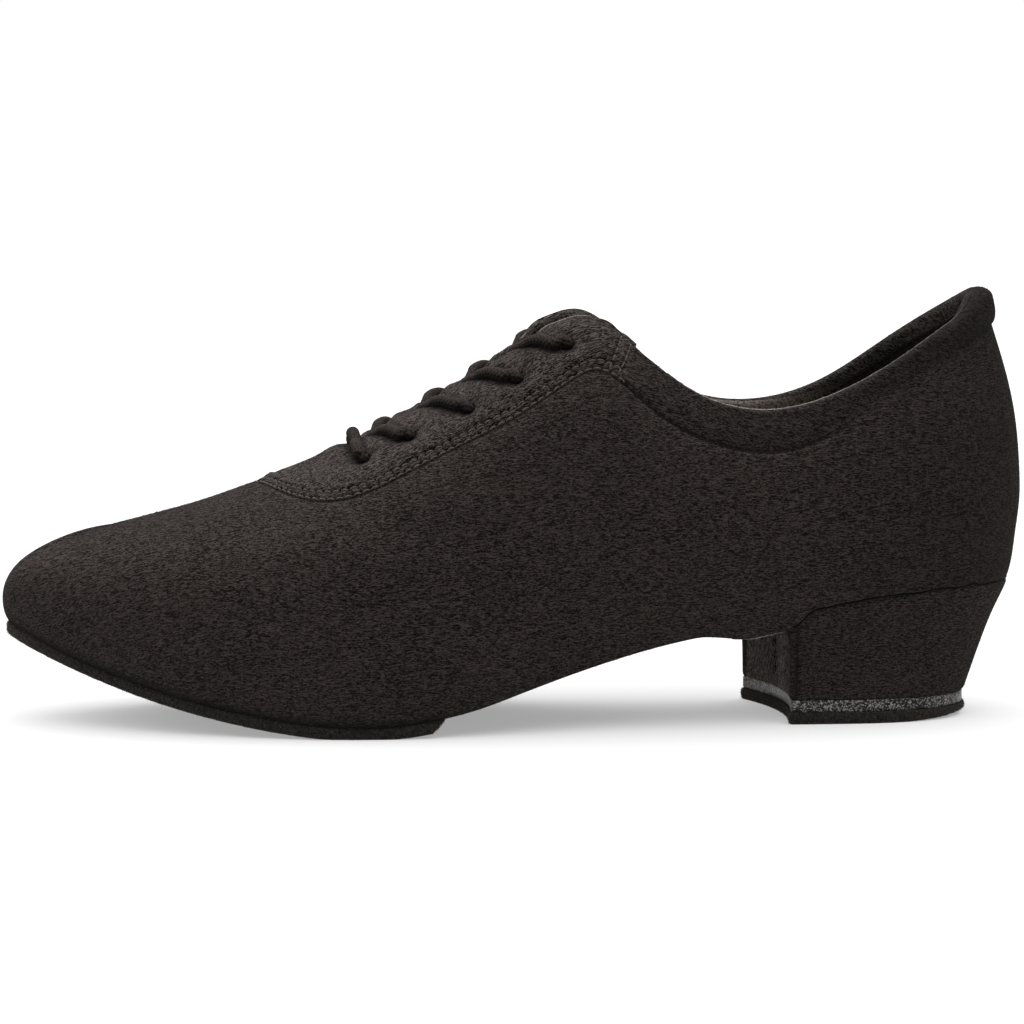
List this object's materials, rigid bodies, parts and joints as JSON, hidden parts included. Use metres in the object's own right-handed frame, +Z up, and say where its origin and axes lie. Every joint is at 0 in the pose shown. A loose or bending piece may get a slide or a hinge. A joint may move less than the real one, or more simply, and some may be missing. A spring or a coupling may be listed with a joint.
{
  "type": "dance shoe",
  "caption": "Low-heeled lace-up practice dance shoe with a napped dark upper, split suede sole, padded collar and a covered block heel.",
  "frame": {"origin": "middle of the shoe's box, on the floor that it stands on", "axes": "+X from the toe towards the heel, +Y towards the inner side of the foot, +Z up"},
  "size_m": [0.257, 0.083, 0.1089],
  "materials": {
    "microfibre": "matte napped",
    "facing": "matte napped",
    "tongue": "matte",
    "insole": "matte",
    "suede": "matte brushed",
    "clear_plate": "gloss",
    "lace": "matte"
  },
  "bodies": {
    "root": {"upper": "microfibre", "eyestay": "facing", "collar_band": "facing", "tongue": "tongue", "insole": "insole", "forefoot_outsole": "suede", "heel_block": "microfibre", "heel_plate": "clear_plate", "heel_lift": "suede", "lace_1": "lace", "lace_2": "lace", "lace_3": "lace", "lace_4": "lace", "lace_5": "lace"}
  },
  "joints": []
}
